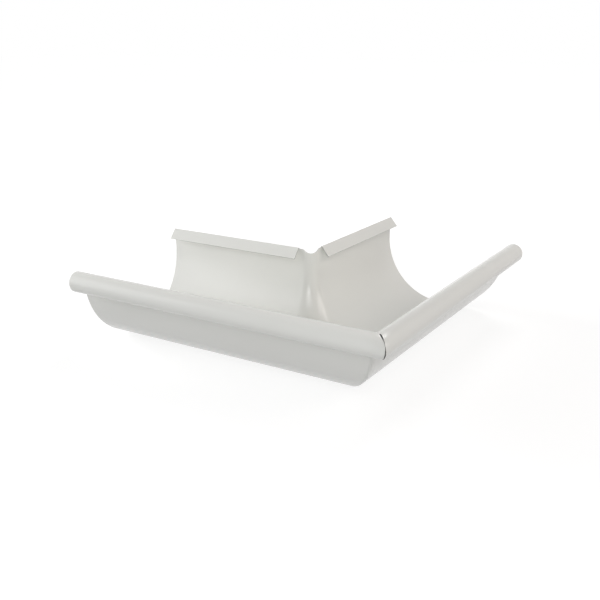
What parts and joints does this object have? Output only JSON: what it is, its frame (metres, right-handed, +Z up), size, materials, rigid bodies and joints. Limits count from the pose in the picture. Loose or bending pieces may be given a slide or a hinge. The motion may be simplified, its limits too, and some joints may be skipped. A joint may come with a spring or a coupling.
{
  "type": "gutter external angle",
  "caption": "One-piece external 90 degree corner for a half-round roof gutter: rolled hollow front bead, folded-in rear lips, rounded house-side bend, white painted steel.",
  "frame": {"origin": "middle of the footprint, on the surface the angle stands on; the two trough axes cross at X +70.05 mm, Y -70.05 mm, Z 62.5 mm", "axes": "+Z up out of the open channel; one leg runs towards -X with its bead side facing -Y, the other towards +Y with its bead side facing +X; the house is in the inner corner, towards -X and +Y"},
  "size_m": [0.2998, 0.2998, 0.0835],
  "materials": {
    "white_paint": "satin factory-coated off-white"
  },
  "bodies": {
    "root": {"gutter_angle": "white_paint"}
  },
  "joints": []
}
